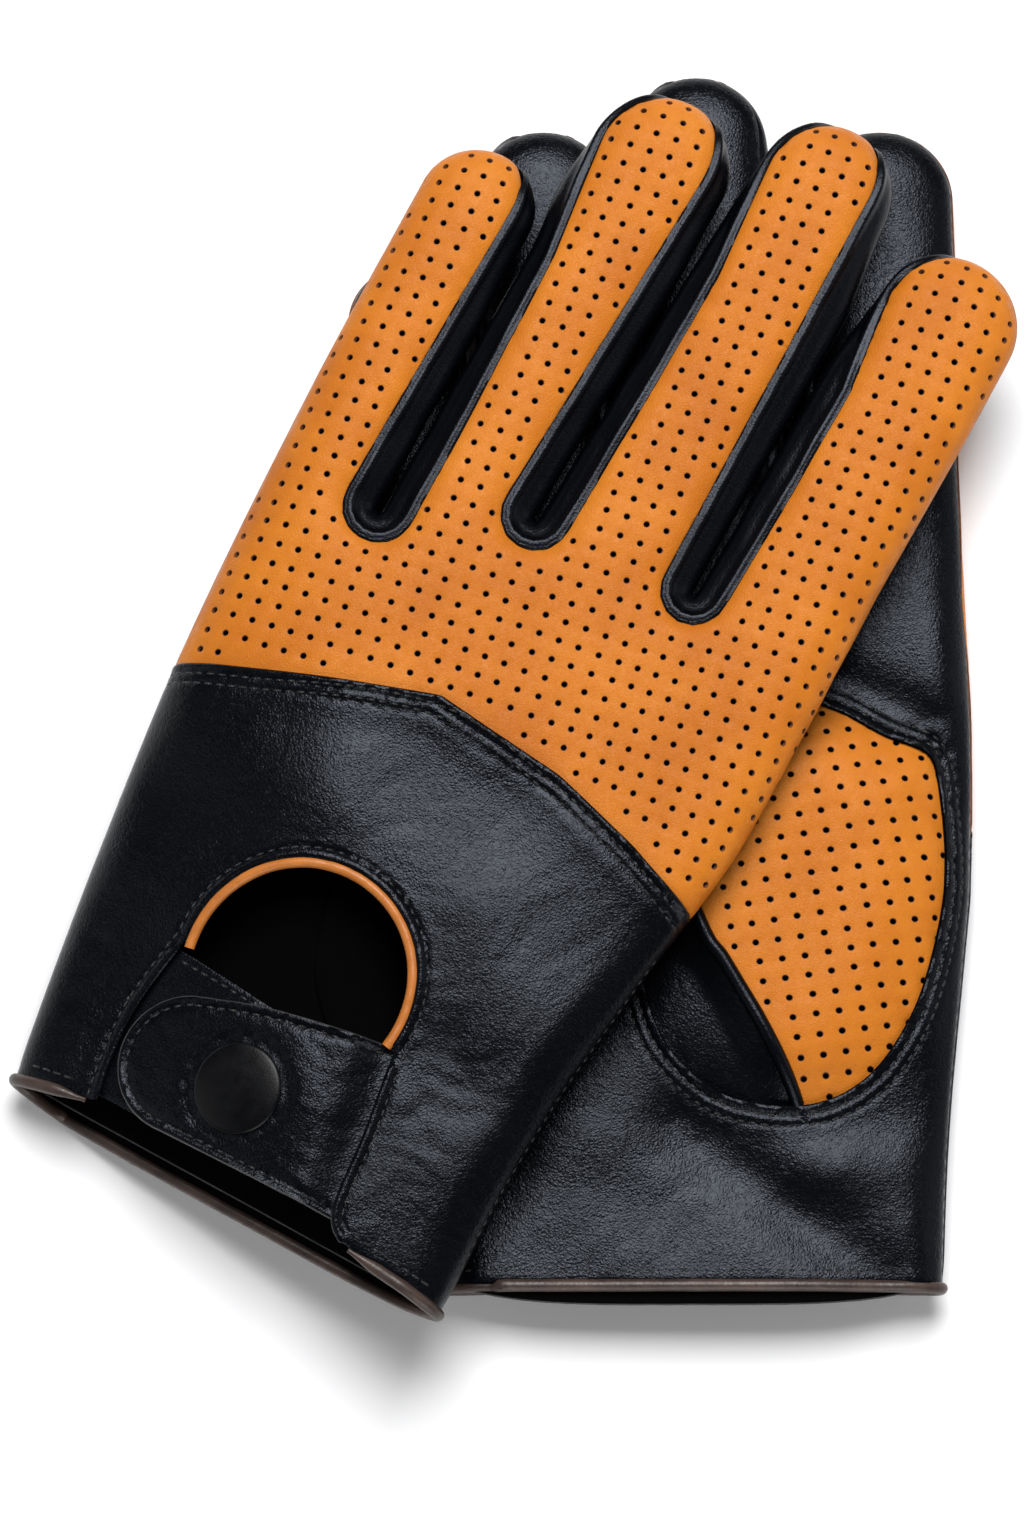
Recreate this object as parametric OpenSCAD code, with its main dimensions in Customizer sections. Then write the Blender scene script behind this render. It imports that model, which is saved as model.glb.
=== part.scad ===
// Pair of leather driving gloves, lying crossed: the right glove palm up on the
// surface, the left glove back up on top of it, both thumbs folded between the palms.
// Each glove is drawn in its own plan frame: X across the hand towards the thumb side,
// Y along the fingers, origin at the middle of the cuff edge.

/* [Glove] */
// Thickness of a flat glove, back leather to palm leather
hand_t = 12.5; // [11.5:0.5:15]
// Leather thickness
leather = 1; // [0.8:0.1:1.2]
// Length from the cuff edge to the tip of the middle finger
glove_l = 240; // [232:1:246]
// Width of the black rolled edge of a fourchette, seen from the back
rolled_edge = 3; // [2:0.5:3.5]
// Width of the rolled binding round the cuff opening
binding_w = 2.4; // [1.8:0.2:3]

/* [Keyhole vent and strap] */
// Radius of the half-round vent in the back of the cuff
vent_r = 22.5; // [19:0.1:23]
// Width of the piping round the vent
piping_w = 2; // [1.4:0.2:2.6]
// Diameter of the snap's cap
cap_d = 17.5; // [13:0.5:19]
// Diameter of the stud of the snap
stud_d = 5; // [4:0.5:6]
// Clearance between the stud and the socket, on the radius
snap_gap = 0.4; // [0.3:0.1:0.6]
// Gap between the strap's hinge end and the flap that holds it
strap_gap = 1.5; // [1.5:0.1:2.5]

/* [Thumb] */
// Thickness of the folded thumb
thumb_t = 6.4; // [6:0.2:7]
// Half width and half height of the oval hole that the thumb is sewn into
thumb_hole = [27.4, 39.5];

/* [Pose of the pair] */
// Angle of the left glove over the right one, clockwise
cross_angle = 30; // [26:1:34]
// Height of the palm of the left glove where it lies on the right glove
lift = 19.4; // [19:0.1:22]
// Height of the left glove's lowest cuff corner
corner_lift = 1; // [0.6:0.1:3]

/* [Hidden] */

TAN = [0.84, 0.49, 0.19];
BLACK = [0.09, 0.09, 0.11];
BROWN = [0.30, 0.21, 0.18];
METAL = [0.55, 0.52, 0.48];

LEFT = true;
RIGHT = false;
PALM = 0; // heights measured inwards from the palm leather's outer face
BACK = 1; // heights measured inwards from the back leather's outer face
BIG = 600;

// Right glove's cuff edge from the origin, and the left glove's from the right one's
right_at = [29.25, -119.03];
left_from_right = [-89.7, 19.2];
left_at = right_at + left_from_right;

// The left glove droops from where it leaves the right glove to its cuff corner
droop_from = right_at[0] - 56;
droop_to = right_at[0] - 132;
// The right glove's back dips round its strap, so that the snap clears the surface
cuff_dip = 3.3;
dip_from = 50;
dip_to = 80;

// Outer edge of the cuff's binding, and where the leather starts
cuff_y = 2.6;
hem_y = cuff_y + binding_w;
// Fingers, little finger first: tip centre line, half width, length short of the middle
finger_x = [-50.2, -23.7, 6.3, 39.7];
finger_r = [11.6, 14, 13.5, 14];
finger_y = [for (short = [38, 11, 0, 11]) cuff_y + glove_l - short];
// Crotches between them: centre line, half width, lowest point
crotch_x = [-36.3, -9.5, 24.3];
crotch_r = [3, 2.7, 2.7];
crotch_y = [129, 142.7, 145.2];
// Outer edges of the hand, from the cuff up on the little finger's side, and down again
side_little =
    [[-43.4, hem_y], [-47.6, 28], [-51.3, 51], [-55.7, 83], [-58.2, 112], [-60.3, 150]];
side_index =
    [[55.2, 165], [57, 135], [57.4, 107], [55.6, 80], [53.4, 52], [52.2, 30], [52, hem_y]];
last = len(side_index) - 1;
// Pointed seam between the perforated back and the cuff
seam = [[-62, 85.8], [-7.5, 105.8], [20, 103.7], [40, 99], [62, 91.6]];

vent_c = [-4, 46];
// Split below the vent: the flap edge on the little finger's side, then on the thumb side
split_little = [[-26.4, 42], [-28.4, 27], [-27.4, 12], [-26.4, 0]];
split_index = [[25.4, 0], [24.6, 9], [22.4, 26], [19.4, 42]];
// Strap: centre and radius of its round end, then the ends of its sewn root
strap_c = [-14.4, 21.4];
strap_r = 13.2;
root_top = [18.5, 42.7];
root_low = [24.8, 9.3];
strap_bow = [-4.4, 38.4];
snap_c = [-3.2, 22.1];

thumb_c = [23.2, 78];
thumb_base = [26, 77];
thumb_base_r = 20;
thumb_tip = [-5, 124];
thumb_tip_r = 11.5;
thumb_rim = 4;
thumb_seam = [[26, 20], [24.2, 39], [18.5, 52.2], [6, 73.8], [-16, 138]];

// Heights through the strap, outwards from the back leather
lining_out = 0.2;
lining_t = 0.6;
strap_in = lining_out + lining_t;
strap_t = 1;
seat = 0.2;
cap_h = 1.5;
tab_in = leather + 0.3;
stud_flange_d = 9.4;
stud_flange_t = 0.35;
stud_top = 0.05;
socket_h = 1;

function smooth(t) = let (c = min(1, max(0, t))) c * c * (3 - 2 * c);
function droop(x) =
    corner_lift + (lift - corner_lift) * smooth((x - droop_to) / (droop_from - droop_to));
function dip(y) = cuff_dip * (1 - smooth((y - dip_from) / (dip_to - dip_from)));

// Height of a level of a glove, at x on the left one and at plan y on the right one
function level(left, side, h, at) =
    left
    ? (side == PALM ? droop(at) + h : droop(at) + hand_t - h)
    : (side == PALM ? hand_t - h : dip(at) + h);

// Where the levels change, across the left glove and along the right one
function stations(left) =
    left
    ? concat([-BIG], [for (i = [0:14]) droop_to + (droop_from - droop_to) * i / 14], [BIG])
    : concat([-BIG], [for (i = [0:8]) dip_from + (dip_to - dip_from) * i / 8], [BIG]);

function low_high(left, lower, upper) =
    concat(
        [for (s = stations(left)) [s, level(left, lower[0], lower[1], s)]],
        [for (i = [len(stations(left)) - 1:-1:0])
            let (s = stations(left)[i]) [s, level(left, upper[0], upper[1], s)]]
    );

// Everything between two levels of a glove, each given as [side, height]
module slab(left, lower, upper) {
    if (left)
        rotate([90, 0, 0])
            linear_extrude(height = BIG, center = true)
                polygon(low_high(left, lower, upper));
    else
        translate([0, right_at[1], 0])
            rotate([90, 0, 90])
                linear_extrude(height = BIG, center = true)
                    polygon(low_high(left, lower, upper));
}

module in_plan(left) {
    at = left ? left_at : right_at;
    translate([at[0], at[1], 0])
        rotate([0, 0, left ? -cross_angle : 0])
            children();
}

// A flat or wall shape of a glove: its plan outline between two levels
module leather_piece(left, from, to) {
    intersection() {
        in_plan(left)
            translate([0, 0, -20])
                linear_extrude(height = 100)
                    children();
        slab(left, from, to);
    }
}

// Round end of a finger, with insets at its left, right and tip
function finger_end(f, l, r, t) =
    [for (a = [180:-15:0])
        [
            finger_x[f] + (finger_r[f] - (a > 90 ? l : r)) * cos(a),
            finger_y[f] - finger_r[f] + (finger_r[f] - t) * sin(a)
        ]];
function crotch_end(k, inset) =
    [for (a = [180:20:360])
        [
            crotch_x[k] + (crotch_r[k] + inset) * cos(a),
            crotch_y[k] + crotch_r[k] + (crotch_r[k] + inset) * sin(a)
        ]];
// Plan outline, inset by inner between the fingers and by outer elsewhere
function outline(inner, outer, below = 0) =
    concat(
        [[side_little[0][0] + outer, hem_y - below]],
        [for (p = side_little) p + [outer, 0]],
        finger_end(0, outer, inner, outer),
        crotch_end(0, inner),
        finger_end(1, inner, inner, outer),
        crotch_end(1, inner),
        finger_end(2, inner, inner, outer),
        crotch_end(2, inner),
        finger_end(3, inner, outer, outer),
        [for (p = side_index) p - [outer, 0]],
        [[side_index[last][0] - outer, hem_y - below]]
    );
function oval(grow) =
    [for (a = [0:10:350])
        thumb_c + [(thumb_hole[0] + grow) * cos(a), (thumb_hole[1] + grow) * sin(a)]];
// Two circles of different size joined by their tangents
function taper(p0, r0, p1, r1) =
    let (
        d = p1 - p0,
        turn = atan2(d[1], d[0]),
        lean = acos((r0 - r1) / norm(d))
    )
    concat(
        [for (i = [0:8]) let (a = turn - lean + 2 * lean * i / 8) p1 + r1 * [cos(a), sin(a)]],
        [for (i = [0:12])
            let (a = turn + lean + (360 - 2 * lean) * i / 12) p0 + r0 * [cos(a), sin(a)]]
    );

// The wall that runs round the outline, open at the cuff
module wall_plan() {
    difference() {
        polygon(outline(0, 0));
        polygon(outline(leather, leather, 10));
    }
}

module above_seam() polygon(concat(seam, [[80, 300], [-80, 300]]));

module below_seam() polygon(concat(seam, [[80, -20], [-80, -20]]));

// Plan zone of the fourchette between finger k and the next
module fourchette_zone(k) {
    y0 = crotch_y[k] - 8;
    y1 = finger_y[k] - finger_r[k] * 0.45;
    y2 = finger_y[k + 1] - finger_r[k + 1] * 0.45;
    polygon([
        [finger_x[k], y0], [finger_x[k + 1], y0],
        [finger_x[k + 1], y2], [crotch_x[k], max(y1, y2)], [finger_x[k], y1]
    ]);
}

module back_panel(left) {
    color(TAN) {
        leather_piece(left, [BACK, leather], [BACK, 0])
            intersection() {
                polygon(outline(rolled_edge, 0));
                above_seam();
            }
        leather_piece(left, [PALM, leather], [BACK, leather])
            intersection() {
                difference() {
                    wall_plan();
                    for (k = [0:2])
                        fourchette_zone(k);
                }
                above_seam();
            }
    }
}

module palm_panel(left) {
    color(BLACK)
        leather_piece(left, [PALM, 0], [PALM, leather])
            difference() {
                polygon(outline(0, 0));
                polygon(oval(0));
            }
}

// A strip that joins back to palm between two fingers, its top edge rolled outwards
module fourchette(left, k) {
    color(BLACK) {
        leather_piece(left, [PALM, leather], [BACK, leather])
            intersection() {
                wall_plan();
                fourchette_zone(k);
            }
        leather_piece(left, [BACK, leather], [BACK, 0])
            intersection() {
                difference() {
                    polygon(outline(0, 0));
                    polygon(outline(rolled_edge, 0));
                }
                fourchette_zone(k);
            }
    }
}

module vent_plan() {
    translate(vent_c)
        circle(r = vent_r, $fn = 64);
    polygon(concat(split_little, split_index));
}

module cuff_back(left) {
    color(BLACK) {
        leather_piece(left, [BACK, leather], [BACK, 0])
            difference() {
                intersection() {
                    polygon(outline(0, 0));
                    below_seam();
                }
                vent_plan();
            }
        leather_piece(left, [PALM, leather], [BACK, leather])
            intersection() {
                wall_plan();
                below_seam();
            }
    }
}

// Piping on the rim of the vent, down to the split on both sides
module vent_piping(left) {
    color(TAN)
        leather_piece(left, [BACK, leather + 0.4], [BACK, 0])
            difference() {
                translate(vent_c)
                    circle(r = vent_r, $fn = 64);
                translate(vent_c)
                    circle(r = vent_r - piping_w, $fn = 64);
                translate([-50, -60])
                    square([100, 101]);
                polygon(concat(split_little, split_index));
            }
}

// Rolled binding in front of every edge of the cuff opening
module cuff_binding(left) {
    w = 1.9;
    x0 = side_little[0][0];
    x1 = side_index[last][0];
    gap0 = split_little[3][0];
    gap1 = split_index[0][0];
    color(BROWN) {
        leather_piece(left, [PALM, 0], [PALM, w])
            translate([x0, cuff_y])
                square([x1 - x0, binding_w]);
        leather_piece(left, [PALM, w], [BACK, w])
            for (x = [x0, x1 - w])
                translate([x, cuff_y])
                    square([w, binding_w]);
        leather_piece(left, [BACK, w], [BACK, 0])
            difference() {
                translate([x0, cuff_y])
                    square([x1 - x0, binding_w]);
                translate([gap0, cuff_y - 1])
                    square([gap1 - gap0, binding_w + 2]);
            }
    }
}

// Facing inside the palm side of the hem
module hem_facing(left) {
    facing_w = 18;
    color(BLACK)
        leather_piece(left, [PALM, leather], [PALM, leather * 1.9])
            translate([side_little[0][0] + leather * 2.5, hem_y + 0.2])
                square([side_index[last][0] - side_little[0][0] - leather * 3.5, facing_w]);
}

// Tab under the strap, sewn to the inside of the flap on the little finger's side
module underlap_tab(left) {
    color(BLACK) {
        difference() {
            leather_piece(left, [BACK, tab_in + leather], [BACK, tab_in])
                polygon([[-36, 9], [16, 9], [16, 31], [-4, 38.4], [-27, 40.2], [-36, 40.2]]);
            at_snap(left)
                translate([0, 0, -tab_in])
                    cylinder(d = stud_flange_d, h = 5, $fn = 48);
        }
        leather_piece(left, [BACK, tab_in], [BACK, leather])
            polygon([[-36, 9], [-30, 9], [-30, 40.2], [-36, 40.2]]);
    }
}

module strap_plan() {
    gap = [-strap_gap, 0];
    polygon(concat(
        [for (a = [105:15:270]) strap_c + strap_r * [cos(a), sin(a)]],
        [root_low + gap, root_top + gap, strap_bow]
    ));
}

// The cap is seated a little way into the strap
module strap(left) {
    color(BLACK)
        difference() {
            leather_piece(left, [BACK, -strap_in], [BACK, -strap_in - strap_t])
                strap_plan();
            at_snap(left)
                translate([0, 0, strap_in + strap_t - seat])
                    cylinder(d = cap_d, h = 5, $fn = 64);
        }
}

module strap_lining(left) {
    color(BLACK)
        leather_piece(left, [BACK, -lining_out], [BACK, -strap_in])
            difference() {
                strap_plan();
                translate(snap_c)
                    circle(d = stud_d + 2 * snap_gap, $fn = 48);
            }
}

// Puts the snap's own axis at its place, square to the back leather there
module at_snap(left) {
    c = cos(cross_angle);
    s = sin(cross_angle);
    if (left) {
        x = left_at[0] + snap_c[0] * c + snap_c[1] * s;
        y = left_at[1] - snap_c[0] * s + snap_c[1] * c;
        slope = atan((droop(x + 4) - droop(x - 4)) / 8);
        translate([x, y, level(left, BACK, 0, x)])
            rotate([0, -slope, 0])
                children();
    } else
        translate([right_at[0] + snap_c[0], right_at[1] + snap_c[1], cuff_dip])
            rotate([180, 0, 0])
                children();
}

// Low domed cap of the snap, on the strap
module snap_cap(left) {
    base = strap_in + strap_t;
    sphere_r = (pow(cap_d / 2, 2) + cap_h * cap_h) / (2 * cap_h);
    color(BLACK)
        at_snap(left)
            rotate_extrude($fn = 64)
                polygon(concat(
                    [[0, base - seat]],
                    [[cap_d / 2 - 0.4, base - seat]],
                    [for (i = [0:6])
                        let (r = cap_d / 2 * (1 - i / 6))
                        [r, base - sphere_r + cap_h + sqrt(sphere_r * sphere_r - r * r)]]
                ));
}

module snap_socket(left) {
    color(METAL)
        at_snap(left)
            translate([0, 0, lining_out - socket_h - 0.1])
                difference() {
                    cylinder(d = 9.4, h = socket_h, $fn = 48);
                    translate([0, 0, -1])
                        cylinder(d = stud_d + 2 * snap_gap, h = socket_h + 2, $fn = 48);
                }
}

module snap_stud(left) {
    color(METAL)
        at_snap(left) {
            translate([0, 0, -tab_in])
                cylinder(d = stud_flange_d, h = stud_flange_t, $fn = 48);
            translate([0, 0, -tab_in + stud_flange_t])
                cylinder(d = stud_d, h = tab_in - stud_flange_t - stud_top, $fn = 48);
        }
}

// Back part of the stud, riveted through the tab from inside the glove
module snap_eyelet(left) {
    color(METAL)
        at_snap(left)
            translate([0, 0, -tab_in - leather - 0.6])
                difference() {
                    cylinder(d = 9, h = 0.5, $fn = 48);
                    translate([0, 0, -1])
                        cylinder(d = 3, h = 2, $fn = 32);
                }
}

// Plan of the folded thumb, inset all round
module thumb_plan(inset) {
    polygon(oval(-thumb_rim - inset));
    polygon(taper(thumb_base, thumb_base_r - inset, thumb_tip, thumb_tip_r - inset));
}

module thumb_half(left, tan_side) {
    side = tan_side ? [[120, 134], [120, 20]] : [[-90, 134], [-90, 20]];
    // Flange in the oval hole
    leather_piece(left, [PALM, 0], [PALM, leather])
        intersection() {
            difference() {
                polygon(oval(0));
                polygon(oval(-thumb_rim - leather));
            }
            polygon(concat(thumb_seam, side));
        }
    // Walls of the pouch
    leather_piece(left, [PALM, leather - thumb_t], [PALM, 0])
        intersection() {
            difference() {
                thumb_plan(0);
                thumb_plan(leather);
            }
            polygon(concat(thumb_seam, side));
        }
    // Outer face of the pouch
    leather_piece(left, [PALM, -thumb_t], [PALM, leather - thumb_t])
        intersection() {
            thumb_plan(0);
            polygon(concat(thumb_seam, side));
        }
}

module thumb_back(left) color(TAN) thumb_half(left, true);

module thumb_front(left) color(BLACK) thumb_half(left, false);

back_panel(LEFT);  // left_back_panel
palm_panel(LEFT);  // left_palm_panel
fourchette(LEFT, 2);  // left_fourchette_index_middle
fourchette(LEFT, 1);  // left_fourchette_middle_ring
fourchette(LEFT, 0);  // left_fourchette_ring_little
thumb_back(LEFT);  // left_thumb_back
thumb_front(LEFT);  // left_thumb_front
cuff_back(LEFT);  // left_cuff_back
vent_piping(LEFT);  // left_vent_piping
cuff_binding(LEFT);  // left_cuff_binding
hem_facing(LEFT);  // left_hem_facing
underlap_tab(LEFT);  // left_underlap_tab
strap(LEFT);  // left_strap
strap_lining(LEFT);  // left_strap_lining
snap_cap(LEFT);  // left_snap_cap
snap_socket(LEFT);  // left_snap_socket
snap_stud(LEFT);  // left_snap_stud
snap_eyelet(LEFT);  // left_snap_eyelet
back_panel(RIGHT);  // right_back_panel
palm_panel(RIGHT);  // right_palm_panel
fourchette(RIGHT, 2);  // right_fourchette_index_middle
fourchette(RIGHT, 1);  // right_fourchette_middle_ring
fourchette(RIGHT, 0);  // right_fourchette_ring_little
thumb_back(RIGHT);  // right_thumb_back
thumb_front(RIGHT);  // right_thumb_front
cuff_back(RIGHT);  // right_cuff_back
vent_piping(RIGHT);  // right_vent_piping
cuff_binding(RIGHT);  // right_cuff_binding
hem_facing(RIGHT);  // right_hem_facing
underlap_tab(RIGHT);  // right_underlap_tab
strap(RIGHT);  // right_strap
strap_lining(RIGHT);  // right_strap_lining
snap_cap(RIGHT);  // right_snap_cap
snap_socket(RIGHT);  // right_snap_socket
snap_stud(RIGHT);  // right_snap_stud
snap_eyelet(RIGHT);  // right_snap_eyelet
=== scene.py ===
# Looks of the pair of leather driving gloves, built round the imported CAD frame.
# Plan sizes are in millimetres in each glove's own frame (X across the hand towards the
# thumb side, Y along the fingers, origin at the middle of the cuff edge). Blender objects
# are in metres in the row frame.
import math

import bmesh
import bpy
import numpy as np
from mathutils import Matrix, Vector
from mathutils.geometry import delaunay_2d_cdt
from mathutils.kdtree import KDTree


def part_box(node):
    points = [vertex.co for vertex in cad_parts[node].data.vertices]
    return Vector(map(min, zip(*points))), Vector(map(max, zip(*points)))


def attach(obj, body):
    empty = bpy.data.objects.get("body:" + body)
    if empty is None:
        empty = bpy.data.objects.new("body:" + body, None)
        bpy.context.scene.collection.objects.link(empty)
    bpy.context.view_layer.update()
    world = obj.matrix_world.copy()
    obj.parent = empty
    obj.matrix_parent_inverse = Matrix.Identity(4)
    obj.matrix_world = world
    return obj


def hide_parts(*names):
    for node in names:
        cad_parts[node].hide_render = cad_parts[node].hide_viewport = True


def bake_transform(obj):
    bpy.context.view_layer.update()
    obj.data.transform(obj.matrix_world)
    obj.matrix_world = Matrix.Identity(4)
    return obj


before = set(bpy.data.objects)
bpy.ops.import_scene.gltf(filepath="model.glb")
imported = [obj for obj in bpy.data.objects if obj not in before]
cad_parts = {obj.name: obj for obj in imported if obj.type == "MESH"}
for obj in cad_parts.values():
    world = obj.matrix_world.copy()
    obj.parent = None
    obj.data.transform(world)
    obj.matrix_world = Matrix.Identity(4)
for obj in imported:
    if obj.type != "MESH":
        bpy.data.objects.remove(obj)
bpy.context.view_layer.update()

MM = 0.001
norm = np.linalg.norm
columns = np.column_stack

# ---- sizes of a glove
LEATHER = 0.95  # thickness of the leather
ROUND = 10.5  # width over which a panel rounds down to its edge, in plan
ROUND_H = 6.25  # height over which it does so
PALM_INNER = 0.5  # where the palm leather starts between the fingers
ROLLED = 2.9  # width of a fourchette on the back side
HEM_Y = 5.0  # where the cuff's leather ends, in the binding
FINGER_X = [-50.2, -23.7, 6.3, 39.7]
FINGER_R = [11.6, 14.0, 13.5, 14.0]
FINGER_Y = [204.6, 231.6, 242.6, 231.6]
CROTCH_X = [-36.3, -9.5, 24.3]
CROTCH_R = [3.0, 2.7, 2.7]
CROTCH_Y = [129.0, 142.7, 145.2]
SIDE_LITTLE = [(-43.4, 5), (-47.6, 28), (-51.3, 51), (-55.7, 83), (-58.2, 112), (-60.3, 150)]
SIDE_INDEX = [(55.2, 165), (57, 135), (57.4, 107), (55.6, 80), (53.4, 52), (52.2, 30), (52, 5)]
SEAM = [(-75, 81), (-56, 87.9), (-42, 93), (-7.5, 105.8), (20, 103.7), (40, 99), (54, 94.3), (75, 87)]
VENT_C, VENT_R = np.array([-4.0, 46.0]), 22.5
SPLIT_LITTLE = [(-26.6, 42), (-28.6, 27), (-27.6, 15), (-26.2, 8.2)]
SPLIT_INDEX = [(28.5, 6.2), (25.6, 8.3), (23.8, 13), (22.3, 26), (20, 38.5), (19.3, 43)]
STRAP_C, STRAP_R = np.array([-14.4, 21.4]), 13.2
ROOT_TOP, ROOT_LOW = np.array([18.5, 42.7]), np.array([24.8, 9.3])
STRAP_BOW = (-4.4, 38.4)
SNAP_C, CAP_D = np.array([-3.2, 22.1]), 17.5
THUMB_HOLE = [
    (25.3, 38.8), (36.1, 43.9), (43.9, 55.6), (48.5, 70.4), (50.6, 85.2), (50.6, 97),
    (50.0, 103.5), (48.6, 106.9), (45.6, 108.4), (40.5, 110.3), (30, 116), (14, 119), (0, 111),
    (-5.8, 92), (-6, 72), (-3.3, 57.6), (1.1, 48.8), (10.8, 40.9),
]
THUMB_BASE, THUMB_BASE_R = np.array([26.0, 77.0]), 20.0
THUMB_TIP, THUMB_TIP_R = np.array([-5.0, 124.0]), 11.5
THUMB_SEAM = [(26, 30), (24.2, 39), (18.5, 52.2), (10.8, 65.9), (6, 73.8), (-6, 105), (-16, 138)]
THUMB_H = 6.2
HOLE_R = 0.56  # of a perforation
STITCH, STITCH_GAP, STITCH_R = 1.5, 0.75, 0.27
DOUBLE_ROW = (1.9, 3.9)  # distances of a double row of stitches from its edge
SHARP = 50  # degrees between faces from which an edge stays sharp
SIDE_WARP = {  # how far each glove's thumb side lies off the common plan, along the glove
    "left": ((5, -0.9), (30, -2.2), (52, -3.0), (80, -2.7), (107, -1.4), (135, -1.4), (200, 0)),
    "right": ((5, 0.4), (30, 1.4), (60, 2.4), (80, 2.9), (107, 1.6), (138, 1.0), (200, 2.8)),
}
LATTICE_TURN = math.radians(10)
LATTICE = (4.05, 3.85)

# ---- numbers from the frame
HAND_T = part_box("right_palm_panel")[1].z / MM
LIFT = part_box("left_palm_panel")[1].z / MM - 1.0  # the panel is 1 mm thick
CORNER_LIFT = 1.0
CUFF_DIP, DIP_FROM, DIP_TO = 3.3, 50.0, 80.0
BACK_CLEAR = 2.0  # room for seams under the right glove
PRESSED = 0.2  # how much relief is left where the right glove's back is pressed flat
CROSS = math.radians(30)
DROOP_FROM, DROOP_TO = -56.0, -132.0  # in row X, from the right glove's origin


def smooth(t):
    t = np.clip(t, 0.0, 1.0)
    return t * t * (3 - 2 * t)


def unit(v, least=0.0):
    return v / (norm(v, axis=1)[:, None] + least)


def arc(cx, cy, rx, ry, a0, a1, step=5.0):
    n = max(2, int(round(abs(a1 - a0) / step)) + 1)
    a = np.radians(np.linspace(a0, a1, n))
    return columns([cx + rx * np.cos(a), cy + ry * np.sin(a)])


def curve(points, step):
    """Smooth line through given points, resampled to a step in mm."""
    p = np.array(points, float)
    p = np.vstack([2 * p[0] - p[1], p, 2 * p[-1] - p[-2]])
    out = []
    for i in range(1, len(p) - 2):
        a, b, c, d = p[i - 1 : i + 3]
        n = max(2, int(math.ceil(norm(c - b) / step)))
        for t in np.arange(n) / n:
            out.append(
                0.5 * (2 * b + (c - a) * t + (2 * a - 5 * b + 4 * c - d) * t**2
                       + (3 * b - a - 3 * c + d) * t**3)
            )
    out.append(p[-2])
    return np.array(out)


def looped(line):
    return np.vstack([line, line[:1]])


def resample(line, step, closed=False):
    line = np.asarray(line, float)
    if closed:
        line = looped(line)
    seg = norm(np.diff(line, axis=0), axis=1)
    along = np.concatenate([[0], np.cumsum(seg)])
    t = np.linspace(0, along[-1], max(2, int(round(along[-1] / step))) + 1)
    out = columns([np.interp(t, along, line[:, k]) for k in range(line.shape[1])])
    return out[:-1] if closed else out


def finger_tip(k, left=0.0, right=0.0, tip=0.0):
    """Round end of a finger from its left to its right, inset by left, right and tip."""
    r, cy = FINGER_R[k], FINGER_Y[k] - FINGER_R[k]
    a = arc(FINGER_X[k], cy, r - left, r - tip, 180, 90)
    b = arc(FINGER_X[k], cy, r - right, r - tip, 90, 0)
    return np.vstack([a, b[1:]])


def outline(inner=0.0, outer=0.0, below=0.0, lean=0.0):
    """Flat outline of a glove from the cuff on the little finger's side and round to the
    other side, inset by inner between the fingers and by outer elsewhere. lean takes the
    inset from the left side of a fingertip and gives a third of it to the right side."""
    little = curve(SIDE_LITTLE, 3.0) + [outer, 0]
    index = curve(SIDE_INDEX, 3.0) - [outer, 0]
    parts = [little[:1] - [0, below]] if below else []
    parts.append(little)
    for k in range(4):
        if lean and k:
            crotch = np.array([CROTCH_X[k - 1], CROTCH_Y[k - 1]]) + CROTCH_R[k - 1]
            side = np.array([FINGER_X[k] - FINGER_R[k], FINGER_Y[k] - FINGER_R[k]])
            parts.append([crotch * t + side * (1 - t) + [inner + 0.5, 0] for t in (0.7, 0.3)])
        left = outer if k == 0 else inner - lean
        right = outer if k == 3 else inner + lean / 3
        parts.append(finger_tip(k, left, right, outer))
        if k < 3:
            r = CROTCH_R[k] + inner
            parts.append(arc(CROTCH_X[k], CROTCH_Y[k] + CROTCH_R[k], r, r, 180, 360, 10))
    parts.append(index)
    if below:
        parts.append(index[-1:] - [0, below])
    return np.vstack(parts)


class Edge:
    """Nearest point and inward normal of an outline that runs clockwise."""

    def __init__(self, line):
        self.a, self.b = line[:-1], line[1:]
        d = self.b - self.a
        self.d, self.len2 = d, (d * d).sum(1)
        n = columns([d[:, 1], -d[:, 0]]) / np.sqrt(self.len2)[:, None]
        v = np.vstack([n[:1], n[:-1] + n[1:], n[-1:]])
        self.n = unit(v)

    def near(self, p):
        """Signed distance inwards and inward normal for each point."""
        dist, normal = [], []
        for q in np.array_split(p, max(1, len(p) // 4000)):
            r = q[:, None] - self.a[None]
            t = np.clip((r * self.d).sum(2) / self.len2, 0, 1)
            e = q[:, None] - (self.a + t[..., None] * self.d)
            e2 = (e * e).sum(2)
            i = e2.argmin(1)
            k = np.arange(len(q))
            ti = t[k, i][:, None]
            n = unit(self.n[i] * (1 - ti) + self.n[i + 1] * ti)
            side = np.sign((e[k, i] * n).sum(1))
            dist.append(np.where(side == 0, 1, side) * np.sqrt(e2[k, i]))
            normal.append(n)
        return np.concatenate(dist), np.vstack(normal)

    def depth(self, p):
        return self.near(p)[0]


def line_distance(p, line):
    """Distance of points from a polyline, in mm."""
    a, d = line[:-1], np.diff(line, axis=0)
    best = np.full(len(p), 1e9)
    for a0, d0 in zip(a, d):
        t = np.clip(((p - a0) @ d0) / (d0 * d0).sum(), 0, 1)
        best = np.minimum(best, norm(p - a0 - t[:, None] * d0, axis=1))
    return best


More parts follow.
